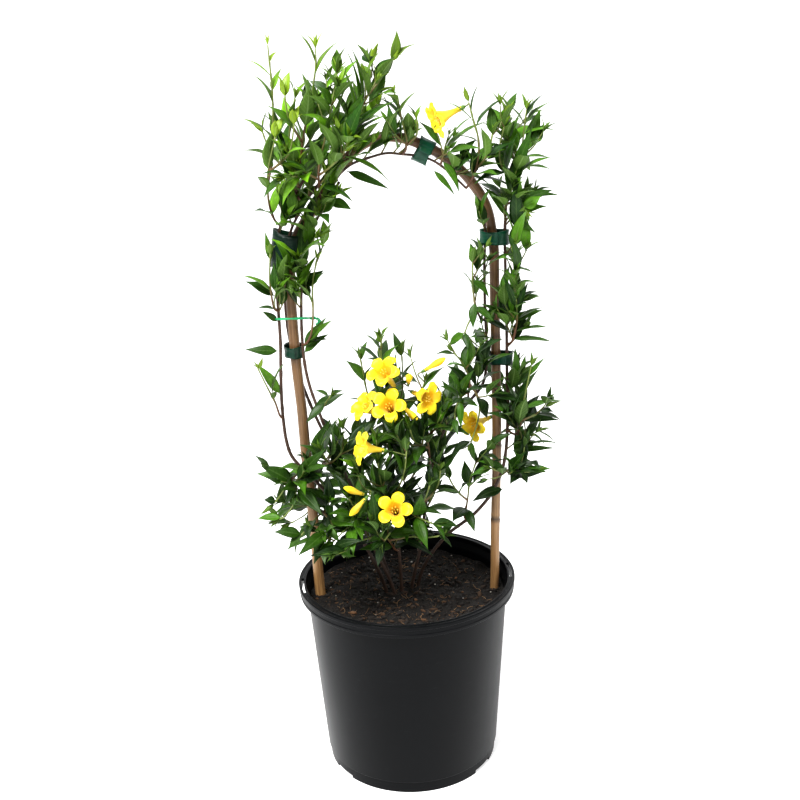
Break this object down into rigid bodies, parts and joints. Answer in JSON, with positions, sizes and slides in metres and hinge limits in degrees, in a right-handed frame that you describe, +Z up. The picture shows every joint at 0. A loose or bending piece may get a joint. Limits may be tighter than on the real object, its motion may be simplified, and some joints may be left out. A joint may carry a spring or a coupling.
{
  "type": "potted yellow jessamine on a hoop",
  "caption": "Flowering evergreen vine with narrow opposite leaves and yellow funnel flowers, tied to a bent cane hoop that stands in a round black nursery pot of soil.",
  "frame": {"origin": "centre of the pot's underside", "axes": "+Z up, along the pot's axis; the hoop stands in the XZ plane; +X to the right and -Y towards the onlooker, as seen from the front"},
  "size_m": [0.2709, 0.2, 0.6604],
  "materials": {
    "black_plastic": "satin black moulded plastic",
    "potting_mix": "crumbled bark and peat, dull",
    "cane": "smooth cane, tan to reddish brown",
    "green_tape": "soft dark green tape",
    "green_wire": "bright green coated wire",
    "bark": "thin reddish brown bark",
    "leaf": "glossy green leaf",
    "petal": "soft bright yellow petal"
  },
  "bodies": {
    "root": {"pot": "black_plastic", "soil": "potting_mix", "hoop": "cane", "tie_shoulder_right": "green_tape", "tie_arch": "green_tape", "tie_shoulder_left": "green_tape", "tie_leg_left": "green_tape", "tie_leg_right": "green_tape", "tie_wire": "green_wire", "stem_left_front": "bark", "stem_left_inner": "bark", "stem_left_back": "bark", "stem_arch": "bark", "stem_centre": "bark", "stem_right_inner": "bark", "stem_right_outer": "bark", "shoot_crown_left": "leaf", "shoot_crown_peak": "leaf", "shoot_crown_mid": "leaf", "shoot_crown_right": "leaf", "shoot_crown_back": "leaf", "shoot_leg_left_high": "leaf", "shoot_leg_left_inner": "leaf", "shoot_leg_left_twig": "leaf", "shoot_leg_left_low": "leaf", "shoot_left_top": "leaf", "shoot_left_outer": "leaf", "shoot_left_drop": "leaf", "shoot_left_low": "leaf", "shoot_left_back": "leaf", "shoot_centre_top": "leaf", "shoot_centre_front": "leaf", "shoot_centre_right": "leaf", "shoot_centre_front_right": "leaf", "shoot_centre_low": "leaf", "shoot_centre_back": "leaf", "shoot_centre_back_left": "leaf", "shoot_right_low": "leaf", "shoot_right_inner": "leaf", "shoot_right_outer": "leaf", "shoot_right_drop": "leaf", "shoot_leg_right_outer": "leaf", "shoot_leg_right_inner": "leaf", "shoot_arch_right": "leaf", "shoot_shoulder_right": "leaf", "shoot_arch_left": "leaf", "shoot_arch_middle": "leaf", "bloom_arch": "petal", "bloom_upper": "petal", "bloom_middle": "petal", "bloom_middle_left": "petal", "bloom_middle_right": "petal", "bloom_left": "petal", "bloom_front": "petal", "bloom_right": "petal", "bud_top": "petal", "bud_top_right": "petal", "bud_middle": "petal", "bud_left_high": "petal", "bud_left_low": "petal"}
  },
  "joints": []
}
